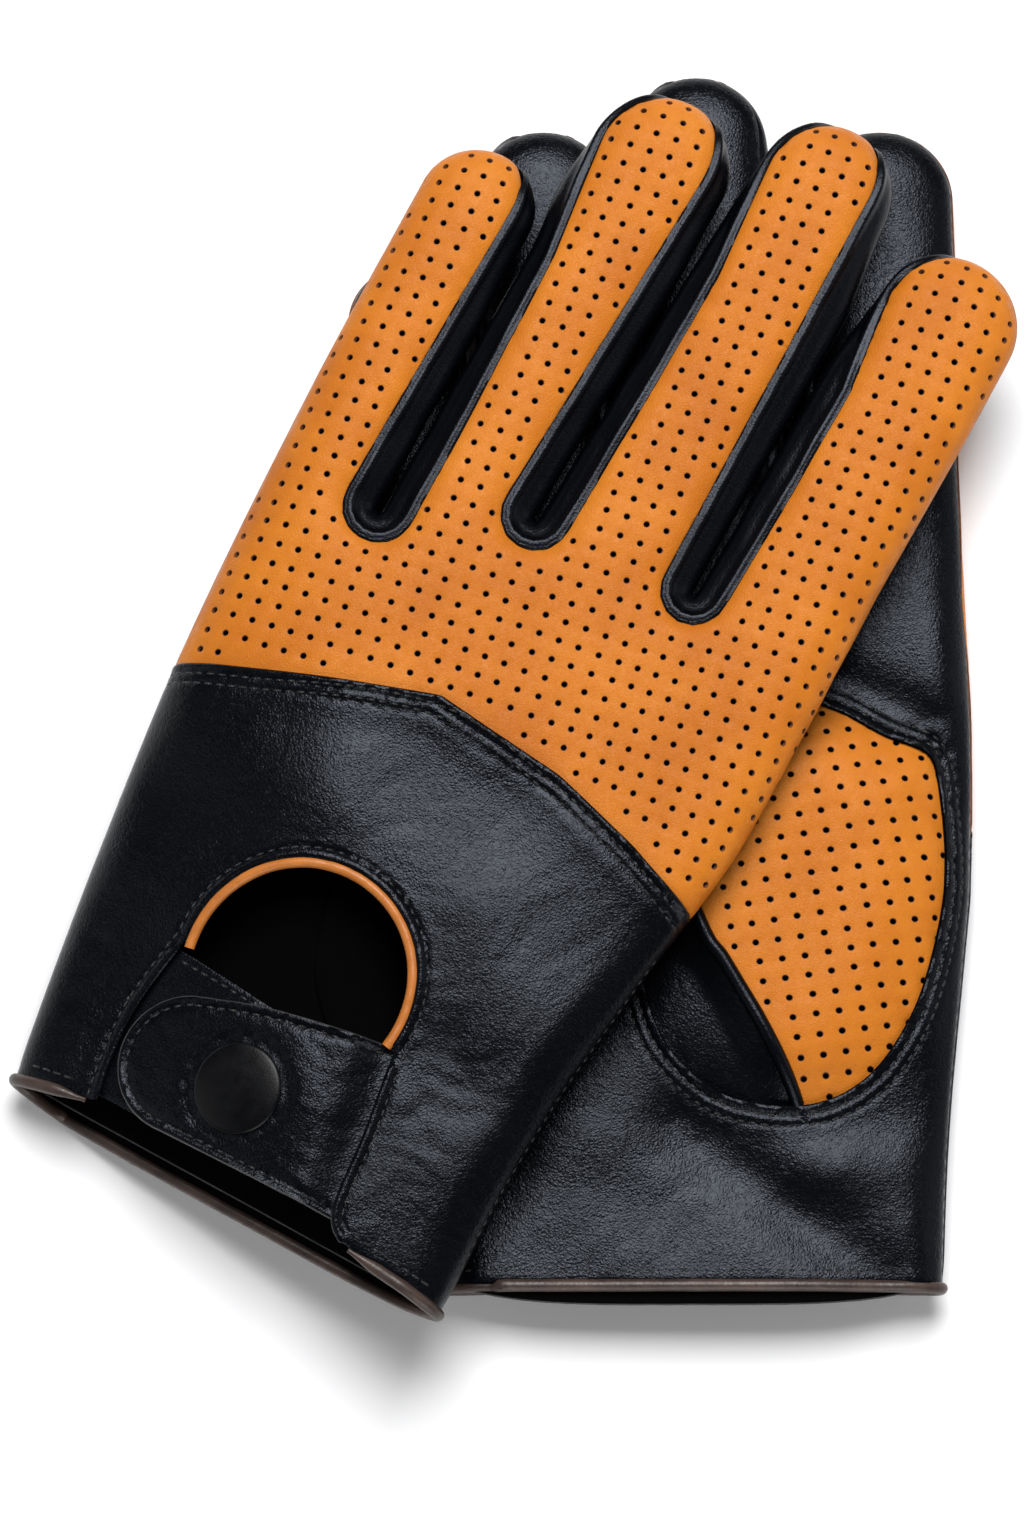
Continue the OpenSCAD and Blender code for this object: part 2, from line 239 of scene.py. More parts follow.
def inside(p, loop):
    """Even-odd test of points in a closed loop."""
    x, y = p[:, 0], p[:, 1]
    hit = np.zeros(len(p), bool)
    for (x0, y0), (x1, y1) in zip(loop, np.roll(loop, -1, axis=0)):
        if y0 == y1:
            continue
        cross = (y0 > y) != (y1 > y)
        hit ^= cross & (x < (x1 - x0) * (y - y0) / (y1 - y0) + x0)
    return hit


_rng = np.random.default_rng(7)
_PERM = np.tile(_rng.permutation(256), 3)
_GRAD = _rng.uniform(0, 2 * np.pi, 256)


def noise2(p, size, seed=0):
    """Smooth gradient noise of about -0.7 to 0.7, with features of a size in mm."""
    q = np.asarray(p, float) / size + seed * 17.31
    i = np.floor(q).astype(int)
    f = q - i
    u = f * f * f * (f * (f * 6 - 15) + 10)

    def corner(dx, dy):
        g = _GRAD[_PERM[_PERM[(i[:, 0] + dx) & 255] + ((i[:, 1] + dy) & 255)]]
        return np.cos(g) * (f[:, 0] - dx) + np.sin(g) * (f[:, 1] - dy)

    x0 = corner(0, 0) * (1 - u[:, 0]) + corner(1, 0) * u[:, 0]
    x1 = corner(0, 1) * (1 - u[:, 0]) + corner(1, 1) * u[:, 0]
    return x0 * (1 - u[:, 1]) + x1 * u[:, 1]


# ---- the shape of a glove
EDGE = Edge(outline(below=40.0))


# Leather lies on a quarter ellipse at the edge. ROUND_S is its length, measured back from
# where the face is flat, and ROUND_A the angle: 0 at the edge and 90 degrees at the face.
ROUND_A = np.linspace(0, math.pi / 2, 200)
_speed = np.hypot(ROUND * np.sin(ROUND_A), ROUND_H * np.cos(ROUND_A))
_run = np.cumsum((_speed[1:] + _speed[:-1]) / 2 * (ROUND_A[1] - ROUND_A[0]))
ROUND_S = ROUND - _run[-1] + np.concatenate([[0], _run])
RIM = ROUND_S[0]  # flat distance at which leather turns from one side of a glove to the other


class Glove:
    """Maps a point of a flat panel to its place on a glove."""

    def __init__(self, side):
        self.side = side
        self.left = side == "left"
        self.body, self.strap_body = side + "_glove", side + "_strap"
        c, s = (math.cos(-CROSS), math.sin(-CROSS)) if self.left else (1.0, 0.0)
        self.turn = np.array([[c, -s], [s, c]])
        low = (outline() @ self.turn.T).min(0)
        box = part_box(side + "_palm_panel")
        self.at = np.array([box[0].x, box[0].y]) / MM - low
        self.side_y, self.side_x = np.array(SIDE_WARP[side], float).T

    def middle(self, plan):
        """Height of the middle of the glove and half its thickness, in the row frame."""
        if self.left:
            x = (plan @ self.turn.T + self.at)[:, 0] - RIGHT_X
            z = CORNER_LIFT + (LIFT - CORNER_LIFT) * smooth((x - DROOP_TO) / (DROOP_FROM - DROOP_TO))
            return z + HAND_T / 2, np.full(len(plan), HAND_T / 2)
        rise = 1 - smooth((plan[:, 1] - DIP_FROM) / (DIP_TO - DIP_FROM))
        dip = BACK_CLEAR + (CUFF_DIP - BACK_CLEAR) * rise
        return (HAND_T + dip) / 2, (HAND_T - dip) / 2

    def world(self, plan, height):
        """Row-frame place, in metres, of plan points at heights from the middle, + at the back."""
        z, _ = self.middle(plan)
        up = 1 if self.left else -1
        xy = plan @ self.turn.T + self.at
        return columns([xy, z + up * height]) * MM

    def warp(self, plan):
        dx = np.interp(plan[:, 1], self.side_y, self.side_x) * smooth((plan[:, 0] - 12) / 36)
        return plan + columns([dx, 0 * dx])

    def lift(self, p, q, n, back, off):
        s = np.clip(q, 2 * RIM - ROUND, ROUND)
        a = np.interp(np.where(s < RIM, 2 * RIM - s, s), ROUND_S, ROUND_A)
        shift = np.where(q < ROUND, ROUND * (1 - np.cos(a)) - s, 0.0)
        plan = p + n * shift[:, None]
        _, h = self.middle(plan)
        up = np.where(s >= RIM, 1.0, -1.0) * (1.0 if back else -1.0)
        dome = 0.5 * smooth((q - ROUND * 0.4) / 26.0)
        lean = columns([-n * (h * np.cos(a))[:, None], ROUND * np.sin(a) * up])
        place = columns([plan, (h * np.sin(a) + dome) * up])
        place = place + unit(lean) * np.reshape(off, (-1, 1))
        return self.world(self.warp(place[:, :2]), place[:, 2])


RIGHT_X = 0.0
RIGHT = Glove("right")
RIGHT_X = RIGHT.at[0]
LEFT = Glove("left")
GLOVES = [RIGHT, LEFT]


# ---- meshes
def add_object(name, data):
    ob = bpy.data.objects.new(name, data)
    bpy.context.collection.objects.link(ob)
    return ob


def new_object(name, co, faces, mats, sharp, index=None):
    mesh = bpy.data.meshes.new(name)
    mesh.from_pydata([tuple(c) for c in co], [], [tuple(int(i) for i in f) for f in faces])
    for m in mats:
        mesh.materials.append(m)
    if index is not None:
        mesh.polygons.foreach_set("material_index", np.asarray(index, np.int32))
    bm = bmesh.new()
    bm.from_mesh(mesh)
    bmesh.ops.recalc_face_normals(bm, faces=bm.faces)
    bm.to_mesh(mesh)
    bm.free()
    mesh.shade_smooth()
    mesh.set_sharp_from_angle(angle=math.radians(sharp))
    mesh.update()
    return add_object(name, mesh)


def skin(rings, sides, base=0):
    """Quads round a stack of rings of points, and a face on each end."""
    faces = []
    for i in range(base, base + (rings - 1) * sides, sides):
        for k in range(sides):
            l = (k + 1) % sides
            faces.append((i + k, i + l, i + sides + l, i + sides + k))
    last = base + (rings - 1) * sides
    return faces + [tuple(range(base, base + sides)), tuple(range(last, last + sides))]


def triangulate(loops, grid, keep, min_gap):
    """Triangles of the region inside loops[0] and outside the others. keep says which
    centroids stay. Returns points and triangles."""
    long = loops[:1] + [loop for loop in loops[1:] if len(loop) > 16]
    gap = np.min([line_distance(grid, looped(loop)) for loop in long], axis=0)
    grid = grid[(gap > min_gap) & inside(grid, loops[0])]
    edges, base = [], 0
    for loop in loops:
        n = len(loop)
        edges += [(base + i, base + (i + 1) % n) for i in range(n)]
        base += n
    pts = np.vstack(loops + [grid])
    out = delaunay_2d_cdt([Vector(p) for p in pts], edges, [], 1, 1e-5, True)
    verts = np.array([tuple(v) for v in out[0]])
    tris = np.array([f for f in out[2] if len(f) == 3])
    tris = tris[keep(verts[tris].mean(1))]
    used = np.unique(tris)
    remap = np.full(len(verts), -1)
    remap[used] = np.arange(len(used))
    return verts[used], remap[tris]


def borders(tris):
    """Directed border edges of a triangle mesh."""
    e = np.vstack([tris[:, [0, 1]], tris[:, [1, 2]], tris[:, [2, 0]]])
    key = {(int(a), int(b)) for a, b in e}
    return [(a, b) for a, b in key if (b, a) not in key]


def leather(name, pts, tris, place, mats, thick=LEATHER, cut=0.25):
    """Closed piece of leather: face, flesh side and a rounded cut edge. place(points, off)
    gives metres. mats are face, flesh and edge."""
    edge, n = borders(tris), len(pts)
    turn, count = np.zeros((n, 2)), np.zeros(n)
    for a, b in edge:
        d = pts[b] - pts[a]
        out = np.array([d[1], -d[0]]) / (norm(d) + 1e-9)
        for k in (a, b):
            turn[k] += out
            count[k] += 1
    rim = np.nonzero(count)[0]
    face = pts.copy()
    face[rim] -= unit(turn[rim], 1e-9) * cut
    co = [place(face, 0.0), place(face, -thick),
          place(pts[rim], -cut * 0.6), place(pts[rim], -thick + cut * 0.6)]
    number = np.full(n, -1)
    number[rim] = np.arange(len(rim))
    faces = [tuple(t) for t in tris] + [tuple(t[::-1] + n) for t in tris]
    index = [0] * len(tris) + [1] * len(tris)
    m, r = 2 * n, len(rim)
    for a, b in edge:
        i, j = number[a], number[b]
        faces += [(b, a, m + i, m + j), (m + j, m + i, m + r + i, m + r + j),
                  (m + r + j, m + r + i, n + a, n + b)]
        index += [2, 2, 2]
    return new_object(name, np.vstack(co), faces, mats, SHARP, index)


def hex_grid(low, high, step):
    xs = np.arange(low[0], high[0], step)
    ys = np.arange(low[1], high[1], step * 0.866)
    g = [(x + (step / 2 if k % 2 else 0), y) for k, y in enumerate(ys) for x in xs]
    return np.array(g)


def lattice(low, high):
    """Punched hole centres and the grid points between them."""
    c, s = math.cos(LATTICE_TURN), math.sin(LATTICE_TURN)
    u, v = np.array([c, s]) * LATTICE[0], np.array([-s, c]) * LATTICE[1]
    k = np.arange(-90, 90)
    i, j = [a.ravel() for a in np.meshgrid(k, k)]
    holes = i[:, None] * u + j[:, None] * v
    between = np.vstack([holes + u / 2, holes + v / 2, holes + (u + v) / 2])
    pick = lambda p: p[((p > low) & (p < high)).all(1)]
    return pick(holes), pick(between)


def punched(loop, margin, avoid=None):
    """Points, triangles of a perforated panel inside a flat loop."""
    holes, grid = lattice(loop.min(0), loop.max(0))
    ok = inside(holes, loop) & (line_distance(holes, looped(loop)) > margin)
    if avoid is not None:
        ok &= ~avoid(holes)
    holes = holes[ok]
    holes = holes + columns([noise2(holes, 9, 1), noise2(holes, 9, 2)]) * 0.35
    rings = [arc(x, y, HOLE_R, HOLE_R, 0, 324, 36) for x, y in holes]
    tree = KDTree(len(holes))
    for k, h in enumerate(holes):
        tree.insert((h[0], h[1], 0.0), k)
    tree.balance()

    def keep(c):
        near = np.array([tree.find((x, y, 0.0))[2] for x, y in c])
        return inside(c, loop) & (near > HOLE_R * 0.93)

    return triangulate([loop] + rings, grid, keep, 0.9)


def plain(loops, step, extra=None):
    """Points, triangles of an unpunched panel inside loops[0] and outside the others."""
    def keep(c):
        good = inside(c, loops[0])
        for loop in loops[1:]:
            good &= ~inside(c, loop)
        return good

    grid = hex_grid(loops[0].min(0), loops[0].max(0), step)
    if extra is not None:
        grid = np.vstack([grid, extra])
    return triangulate(loops, grid, keep, step * 0.45)


def tube(name, path, radius, mats, up=(0.0, 0.0, 1.0), inner=0):
    """Round bead along a path of row-frame points in metres, radius in mm. inner is 1 or -1
    if its lower or upper half has the second material."""
    n, sides = len(path), 14
    d = unit(np.gradient(path, axis=0))
    side = unit(np.cross(d, np.tile(up, (n, 1))), 1e-12)
    top = np.cross(side, d)
    r = np.broadcast_to(np.asarray(radius, float), (n,)) * MM
    a = np.linspace(0, 2 * np.pi, sides, endpoint=False)
    ring = side[:, None] * np.cos(a)[None, :, None] + top[:, None] * np.sin(a)[None, :, None]
    co = (path[:, None] + ring * r[:, None, None]).reshape(-1, 3)
    faces = skin(n, sides)
    height = np.array([co[list(f), 2].mean() - path[min(f[0] // sides, n - 1), 2] for f in faces])
    index = ((height * inner < -0.1 * r.mean()) * 1).tolist() if inner else None
    return new_object(name, co, faces, mats, SHARP, index)


def stitches(name, rows):
    """Separate stitches along rows. A row is (flat line, place(points, off), off)."""
    co, faces = [], []
    sides, rings = 6, ((-1.0, 0.0), (-0.8, 0.75), (0.0, 1.0), (0.8, 0.75), (1.0, 0.0))
    for line, place, off in rows:
        line = resample(line, (STITCH + STITCH_GAP) / 4)
        at, high = place(line, off), place(line, off + 1.0)
        for i in range(0, (len(line) - 1) // 4 * 4, 4):
            mid, axis = (at[i] + at[i + 3]) / 2, (at[i + 3] - at[i]) / 2
            top = high[i + 1] - at[i + 1]
            top /= norm(top)
            side = np.cross(axis, top)
            side /= norm(side) + 1e-12
            faces += skin(len(rings), sides, len(co))
            for t, w in rings:
                c = mid + axis * t - top * MM * 0.25 * abs(t) ** 3
                r = max(w, 0.12) * STITCH_R * MM
                for m in range(sides):
                    ang = 2 * np.pi * m / sides
                    co.append(c + side * math.cos(ang) * r + top * math.sin(ang) * r * 0.8)
    return new_object(name, co, faces, [THREAD], 60)


# ---- materials
class Mat:
    """A node material on Object coordinates, with small helpers to wire it."""

    def __init__(self, name, **sockets):
        self.m = bpy.data.materials.new(name)
        self.m.use_nodes = True
        self.t = self.m.node_tree
        self.bsdf = self.t.nodes["Principled BSDF"]
        for key, value in sockets.items():
            self.bsdf.inputs[key.replace("_", " ")].default_value = value
        self.co = self.t.nodes.new("ShaderNodeTexCoord").outputs["Object"]

    def node(self, kind, values, **props):
        """New node. values are its inputs, as numbers or as sockets to link."""
        n = self.t.nodes.new("ShaderNode" + kind)
        for key, value in props.items():
            setattr(n, key, value)
        for key, value in values.items():
            if isinstance(value, bpy.types.NodeSocket):
                self.link(value, n.inputs[key])
            else:
                n.inputs[key].default_value = value
        return n.outputs

    def link(self, a, b):
        self.t.links.new(a, b)

    def noise(self, scale, detail=3.0, rough=0.6, co=None):
        values = {"Scale": scale, "Detail": detail, "Roughness": rough, "Vector": co or self.co}
        return self.node("TexNoise", values)["Fac"]

    def stretch(self, scale):
        values = {"Scale": scale, "Rotation": (0.3, 0.2, 0.6), "Vector": self.co}
        return self.node("Mapping", values)["Vector"]

    def wobble(self, scale, amount):
        """Object coordinates pushed about by noise, so that cells aren't regular."""
        push = self.node("TexNoise", {"Scale": scale, "Vector": self.co})["Color"]
        values = {0: push, 1: (amount, amount, amount), 2: self.co}
        return self.node("VectorMath", values, operation="MULTIPLY_ADD")["Vector"]

    def cells(self, scale, size, amount):
        """Distance to the edges of cells, made irregular by noise of a size and amount."""
        values = {"Scale": scale, "Vector": self.wobble(size, amount)}
        return self.node("TexVoronoi", values, feature="DISTANCE_TO_EDGE")["Distance"]

    def ramp(self, fac, *stops):
        r = self.t.nodes.new("ShaderNodeValToRGB")
        while len(r.color_ramp.elements) < len(stops):
            r.color_ramp.elements.new(0.5)
        for e, (at, colour) in zip(r.color_ramp.elements, stops):
            e.position = at
            e.color = (*colour, 1)
        self.link(fac, r.inputs["Fac"])
        return r.outputs["Color"]

    def span(self, fac, low, high, a=0.0, b=1.0):
        ends = {"From Min": low, "From Max": high, "To Min": a, "To Max": b}
        return self.node("MapRange", {"Value": fac, **ends})["Result"]

    def mix(self, fac, a, b):
        return self.node("Mix", {0: fac, 6: a, 7: (*b, 1)}, data_type="RGBA")[2]

    def bump(self, *heights):
        """Heights as (socket, strength, depth in metres), the coarsest first."""
        last = {}
        for socket, strength, depth in heights:
            values = {"Height": socket, "Strength": strength, "Distance": depth}
            last = {"Normal": self.node("Bump", {**values, **last})["Normal"]}
        self.link(last["Normal"], self.bsdf.inputs["Normal"])

    def done(self, colour, fac, at_low, at_high, low=0.3, high=0.7):
        """Colour, and a roughness that follows fac, on the shader."""
        self.link(colour, self.bsdf.inputs["Base Color"])
        rough = self.span(fac, low, high, at_low, at_high)
        self.link(rough, self.bsdf.inputs["Roughness"])
        return self.m


def tan_leather(name, colour=(0.565, 0.175, 0.0135), deep=(0.46, 0.125, 0.008)):
    m = Mat(name, Specular_IOR_Level=0.17)
    mottle = m.noise(38, 4)
    cloud = m.noise(420)
    base = m.ramp(mottle, (0.32, deep), (0.58, colour), (0.8, (0.63, 0.212, 0.025)))
    base = m.mix(m.span(cloud, 0.35, 0.75, 0.0, 0.3), base, deep)
    mark = m.span(m.noise(95, 5, 0.7), 0.70, 0.78, 0.0, 0.55)
    base = m.mix(mark, base, (0.26, 0.075, 0.016))
    pore = m.cells(1900, 700, 0.0012)
    m.bump((mottle, 0.12, 0.0012), (pore, 0.55, 0.00025), (m.noise(1500), 0.45, 0.00014))
    return m.done(base, cloud, 0.40, 0.56)


def black_leather(name, tone=1.0, rough=(0.25, 0.33), pebble=0.5):
    m = Mat(name, Specular_IOR_Level=0.205, Specular_Tint=(0.80, 0.86, 1.0, 1.0))
    cloud = m.noise(60, 4)
    dark = tuple(tone * v for v in (0.0006, 0.0007, 0.0012))
    pale = tuple(tone * v for v in (0.0013, 0.0015, 0.0026))
    base = m.ramp(cloud, (0.3, dark), (0.75, pale))
    m.bump(
        (m.span(m.cells(430, 190, 0.004), 0.0, 0.2), 0.12 * pebble, 0.0004),
        (m.span(m.cells(1500, 700, 0.0011), 0.0, 0.5), 0.52 * pebble, 0.0002),
        (m.noise(2300, 2), 0.03, 0.0001),
    )
    return m.done(base, cloud, rough[1], rough[0])


def flesh(name, dark, pale):
    m = Mat(name, Specular_IOR_Level=0.05)
    nap = m.noise(900, 5, 0.7)
    m.bump((nap, 0.5, 0.0003))
    return m.done(m.ramp(nap, (0.3, dark), (0.7, pale)), nap, 0.9, 1.0)


def smooth_leather(name, dark, pale, rough):
    m = Mat(name, Specular_IOR_Level=0.45)
    cloud, fine = m.noise(170, 4), m.noise(1700)
    m.bump((cloud, 0.2, 0.0008), (fine, 0.4, 0.00016))
    return m.done(m.ramp(cloud, (0.3, dark), (0.72, pale)), fine, rough - 0.07, rough + 0.1)


def thread(name, dark, pale):
    m = Mat(name, Sheen_Weight=0.1, Sheen_Roughness=0.4)
    values = {"Scale": 900, "Distortion": 1.5, "Vector": m.co}
    ply = m.node("TexWave", values, bands_direction="DIAGONAL")["Fac"]
    m.bump((ply, 0.6, 0.0002))
    return m.done(m.ramp(ply, (0.2, dark), (0.8, pale)), ply, 0.55, 0.4, 0, 1)


def enamel(name):
    m = Mat(name, Specular_IOR_Level=0.2)
    cloud = m.noise(300)
    base = m.ramp(cloud, (0.3, (0.0008, 0.0009, 0.0014)), (0.7, (0.0014, 0.0016, 0.0024)))
    m.bump((m.noise(2600, 2, 0.5), 0.25, 0.0001))
    return m.done(base, cloud, 0.3, 0.4)


def plated(name):
    m = Mat(name, Metallic=1.0)
    turned = m.noise(700, co=m.stretch((1.0, 9.0, 1.0)))
    base = m.ramp(turned, (0.3, (0.42, 0.39, 0.34)), (0.7, (0.6, 0.57, 0.51)))
    m.bump((turned, 0.2, 0.0001))
    return m.done(base, turned, 0.24, 0.42)


def paper(name):
    m = Mat(name, Specular_IOR_Level=0.1, Roughness=0.9)
    base = m.ramp(m.noise(3, 2, 0.5), (0.0, (0.93, 0.93, 0.94)), (1.0, (0.95, 0.95, 0.96)))
    m.link(base, m.bsdf.inputs["Base Color"])
    return m.m


TAN = tan_leather("tan_leather")
BLACK = black_leather("black_leather")
STRIP = black_leather("black_leather_strip", 0.9, (0.26, 0.36), 0.3)
# Black flesh side, darker than the black face: partly its own colour, partly painted shade for the dark
# inside of the vent, the cuff and the strap.
SHADED_BLACK_FLESH = flesh("black_flesh_painted_shade", (0.0004, 0.0004, 0.0005), (0.0009, 0.0009, 0.0011))
SUEDE = flesh("tan_flesh", (0.05, 0.022, 0.009), (0.12, 0.05, 0.02))
CUT_TAN = smooth_leather("tan_cut_edge", (0.09, 0.028, 0.007), (0.20, 0.062, 0.014), 0.75)
CUT_BLACK = smooth_leather("black_cut_edge", (0.012, 0.012, 0.014), (0.05, 0.048, 0.048), 0.5)
PIPING = smooth_leather("piping_leather", (0.40, 0.12, 0.016), (0.52, 0.17, 0.026), 0.42)
BINDING = smooth_leather("brown_binding", (0.024, 0.015, 0.012), (0.066, 0.04, 0.031), 0.4)
THREAD = thread("black_thread", (0.0014, 0.0015, 0.0020), (0.005, 0.005, 0.0062))
ENAMEL = enamel("snap_enamel")
METAL = plated("snap_plating")
LEATHER_BLACK = [BLACK, SHADED_BLACK_FLESH, BLACK]
LEATHER_TAN = [TAN, SUEDE, CUT_TAN]


# ---- camera, light and floor
def add_camera():
    aim = Vector((-0.00052, -0.01493, 0.01266))
    tilt = math.radians(80)
    camera = add_object("camera", bpy.data.cameras.new("camera"))
    camera.location = aim + Vector((0, -math.cos(tilt), math.sin(tilt))) * 1.4
    camera.rotation_euler = (aim - camera.location).to_track_quat("-Z", "Y").to_euler()
    camera.data.lens = 170.8
    camera.data.sensor_width = 36
    camera.data.clip_end = 10
    bpy.context.scene.camera = camera


def add_light(name, place, size, power):
    light = bpy.data.lights.new(name, "AREA")
    light.shape = "SQUARE"
    light.size = size
    light.energy = power
    ob = add_object(name, light)
    ob.location = place
    ob.rotation_euler = (-Vector(place)).to_track_quat("-Z", "Y").to_euler()


def add_world(strength):
    world = bpy.data.worlds.new("studio")
    world.use_nodes = True
    sky = world.node_tree.nodes["Background"].inputs
    sky["Color"].default_value = (1.0, 1.0, 1.0, 1)
    sky["Strength"].default_value = strength
    bpy.context.scene.world = world


def add_floor(r):
    mesh = bpy.data.meshes.new("floor")
    mesh.from_pydata([(-r, -r, 0), (r, -r, 0), (r, r, 0), (-r, r, 0)], [], [(0, 1, 2, 3)])
    mesh.materials.append(paper("floor_paper"))
    add_object("floor", mesh)


add_camera()
add_world(0.05)
add_light("key_light", (0.06, 0.60, 1.2), 0.8, 25)
add_light("left_light", (-1.3, -0.2, 0.62), 0.9, 2)
add_light("right_light", (1.35, 0.1, 0.62), 0.9, 2)
add_light("front_light", (0.2, -1.3, 0.62), 0.9, 9)
bpy.context.scene.view_settings.view_transform = "Standard"
add_floor(3.0)


# ---- flat shapes of the pieces
def seam_y(x):
    s = np.array(SEAM, float)
    return np.interp(x, s[:, 0], s[:, 1])


def offset_line(line, d):
    """Line moved to its right by d, in mm."""
    line = np.asarray(line, float)
    t = unit(np.gradient(line, axis=0), 1e-9)
    return line + columns([t[:, 1], -t[:, 0]]) * d


def closed_curve(points, step):
    p = np.array(points, float)
    line = curve(np.vstack([p[-2:], p, p[:2]]), step)
    far, half = norm(line - p[0], axis=1), len(line) // 2
    return resample(line[far[:half].argmin() : half + far[half:].argmin()], step, closed=True)


def hem_points(back, left, x, up=0.0):
    return columns([x, hem_line(back, left, x) + up])


def hem_line(back, left, x):
    """Where the leather of a layer ends at the cuff."""
    x = np.asarray(x, float)
    under = 1 - np.clip(np.abs(x - 4) / 48, 0, 1) ** 4
    if left:
        if not back:
            return HEM_Y - 0.6 - 1.2 * under
        return HEM_Y + np.interp(x, (-44, -27, 26, 32, 52), (0.0, 2.6, 1.8, 1.2, 0.0))
    return HEM_Y - 0.2 + (0.7 if back else 0.0) * under


HOLE = closed_curve(THUMB_HOLE, 1.3)
HOLE_RIM = looped(HOLE)
SEAM_LINE = curve(SEAM, 1.4)
SPLIT_L = curve(SPLIT_LITTLE, 1.2)
SPLIT_R = curve(SPLIT_INDEX, 1.2)
VENT = arc(VENT_C[0], VENT_C[1], VENT_R, VENT_R, 190.2, -7.6, 3.2)
THUMB_LINE = curve(THUMB_SEAM, 1.2)


def upper_part(loop, lap):
    """Part of an outline loop above the seam, closed along the seam."""
    keep = loop[:, 1] > seam_y(loop[:, 0]) - lap
    top = loop[keep]
    x = np.arange(top[-1, 0], top[0, 0], -1.5)
    low = columns([x, seam_y(x) - lap])[1:]
    return resample(np.vstack([top, low]), 1.25, closed=True)


def back_loop():
    loop = outline(inner=ROLLED, outer=RIM + 0.3, lean=2.7)
    bulge = np.where(loop[:, 0] > 40, 2.6 * np.exp(-(((loop[:, 1] - 137) / 18) ** 2)), 0)
    loop = loop + columns([bulge, 0 * bulge])
    return upper_part(loop, 5.0)


def palm_loop(left):
    loop = outline(inner=PALM_INNER, outer=RIM - 0.8)
    x = np.arange(loop[-1, 0], loop[0, 0], -1.5)
    return resample(np.vstack([loop, hem_points(False, left, x)]), 1.3, closed=True)


def cuff_loop(left):
    side = outline(outer=RIM + 0.3)
    side = side[side[:, 1] < seam_y(side[:, 0])]
    little, index = side[side[:, 0] < 0], side[side[:, 0] > 0]
    x = np.arange(little[-1, 0] + 1, index[0, 0], 1.4)
    seam = columns([x, seam_y(x)])
    x1 = np.arange(index[-1, 0], SPLIT_INDEX[0][0], -1.4)
    x0 = np.arange(SPLIT_LITTLE[-1][0] - 1, little[0, 0], -1.4)
    return resample(np.vstack([
        little, seam, index, hem_points(True, left, x1),
        SPLIT_R, VENT[::-1], SPLIT_L, hem_points(True, left, x0),
    ]), 1.1, closed=True)


# ---- relief of the leather
def dent(d, at, width, depth):
    return -depth * np.exp(-(((d - at) / width) ** 2))


def creases(p, size, turn, seed, sharp=5.0):
    """Thin irregular valleys running at an angle, 0 to 1."""
    c, s = math.cos(turn), math.sin(turn)
    u = p[:, 0] * c + p[:, 1] * s
    v = -p[:, 0] * s + p[:, 1] * c
    q = columns([u / 3.2, v])
    q = q + columns([noise2(p, 14, seed + 5), noise2(p, 17, seed + 6)]) * 5
    return np.exp(-((noise2(q, size, seed) * sharp) ** 2))


def spot(p, x, y, rx, ry):
    return np.exp(-(((p[:, 0] - x) / rx) ** 2) - (((p[:, 1] - y) / ry) ** 2))


def back_relief(p):
    """Softness of the back, shared by every layer there."""
    z = 0.5 * noise2(p, 34, 1) + 0.3 * noise2(p, 15, 2)
    black = smooth((seam_y(p[:, 0]) - p[:, 1]) / 6)
    vent = norm(p - VENT_C, axis=1)
    z += black * 1.0 * noise2(p, 24, 8)
    z += black * (1.5 * spot(p, 26, 66, 20, 15) + 0.9 * spot(p, -20, 76, 22, 12))
    near = black * np.exp(-np.abs(vent - VENT_R) / 12)
    z -= 0.13 * near * creases(p, 4.2, 0.5, 21)
    z -= 0.30 * spot(p, -40, 30, 10, 14) * creases(p, 4.5, 0.7, 31)
    z -= 0.26 * spot(p, 34, 38, 13, 16) * creases(p, 5.0, 0.25, 41)
    z -= 0.08 * black * creases(p, 6.0, 1.2, 51)
    return z


def palm_relief(p):
    z = 0.8 * noise2(p, 36, 3) + 0.4 * noise2(p, 16, 4)
    d = line_distance(p, np.array([(2, 34), (17, 24), (34, 10), (40, 6)], float))
    z += dent(d, 0, 6.5, 1.5)
    z += 1.0 * spot(p, 33, 27, 14, 6)
    z += 1.5 * np.exp(-(((p[:, 1] - 3) / 15) ** 2))
    z -= 0.10 * creases(p, 5.5, 0.9, 61) * smooth((60 - p[:, 1]) / 30)
    d = line_distance(p, np.array([(58, 93), (50, 112), (30, 122)], float))
    z += dent(d, 0, 5.0, 1.4)
    z += 1.0 * spot(p, 54, 122, 6, 16)
    pucker = spot(p, 52, 105, 8, 10)
    z -= 0.6 * pucker * creases(p, 3.6, 0.15, 71)
    return z


def back_amount(g):
    """The right glove's back is pressed flat, as it lies on the table."""
    return 1.0 if g.left else PRESSED


def side_of(g, back, fade=lambda p: 1.0):
    """Placing function of a side: off square to the leather, plus the side's relief."""
    relief = back_relief if back else palm_relief

    def place(p, off=0.0):
        p = np.asarray(p, float)
        q, n = EDGE.near(p)
        soft = relief(p) * smooth((q - RIM) / 11) * fade(p)
        if back:
            soft = soft * back_amount(g)
        return g.lift(p, q, n, back, np.asarray(off) + soft)
    return place


def raised(base, height, *args):
    """Placing function that adds the height of a piece to a base."""
    return lambda p, off=0.0: base(p, off + height(p, *args))


def strands(*lines):
    """Extra mesh points beside seams, so that their grooves come out."""
    rows = []
    for line, offsets in lines:
        for d in offsets:
            rows.append(resample(offset_line(line, d), 1.1)[1:-1])
    return np.vstack(rows)


